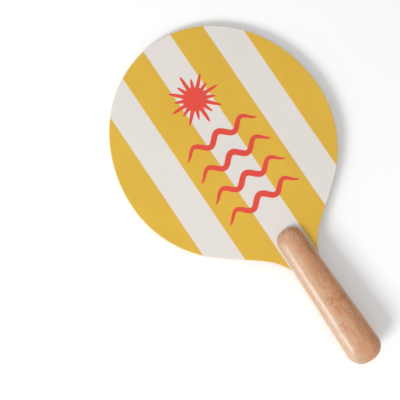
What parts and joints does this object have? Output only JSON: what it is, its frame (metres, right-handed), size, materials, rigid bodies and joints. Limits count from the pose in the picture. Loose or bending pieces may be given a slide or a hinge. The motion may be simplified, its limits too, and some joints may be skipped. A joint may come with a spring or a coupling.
{
  "type": "frescobol racket",
  "caption": "Flat beach racket: a round plywood head lacquered in white and yellow stripes with a red sun-and-waves print, and a rounded wooden grip glued over its tang.",
  "frame": {"origin": "under the middle of the racket's length, on its long axis, level with the back of the grip", "axes": "+Y along the long axis from the butt of the grip towards the crown of the head, +Z out of the front face, +X to the right of the front face seen with the crown up"},
  "size_m": [0.223, 0.38, 0.027],
  "materials": {
    "plywood_veneer": "sanded pale veneer, grain along the racket",
    "plywood_crossband": "sanded pale veneer, grain across the racket",
    "grip_wood": "satin-lacquered fine-grained hardwood",
    "wood_glue": "set glue line",
    "white_lacquer": "semi-matt off-white lacquer",
    "yellow_ink": "semi-matt screen ink",
    "red_ink": "semi-matt screen ink"
  },
  "bodies": {
    "root": {"core_veneer": "plywood_veneer", "front_crossband_veneer": "plywood_crossband", "rear_crossband_veneer": "plywood_crossband", "front_face_veneer": "plywood_veneer", "rear_face_veneer": "plywood_veneer", "front_white_ground": "white_lacquer", "rear_white_ground": "white_lacquer", "front_right_yellow_stripe_1": "yellow_ink", "front_left_yellow_stripe_1": "yellow_ink", "front_right_yellow_stripe_2": "yellow_ink", "front_left_yellow_stripe_2": "yellow_ink", "rear_right_yellow_stripe_1": "yellow_ink", "rear_left_yellow_stripe_1": "yellow_ink", "rear_right_yellow_stripe_2": "yellow_ink", "rear_left_yellow_stripe_2": "yellow_ink", "front_red_sun": "red_ink", "front_red_wave_1": "red_ink", "front_red_wave_2": "red_ink", "front_red_wave_3": "red_ink", "front_red_wave_4": "red_ink", "rear_red_sun": "red_ink", "rear_red_wave_1": "red_ink", "rear_red_wave_2": "red_ink", "rear_red_wave_3": "red_ink", "rear_red_wave_4": "red_ink", "front_grip_glue": "wood_glue", "rear_grip_glue": "wood_glue", "front_grip_half": "grip_wood", "rear_grip_half": "grip_wood"}
  },
  "joints": []
}
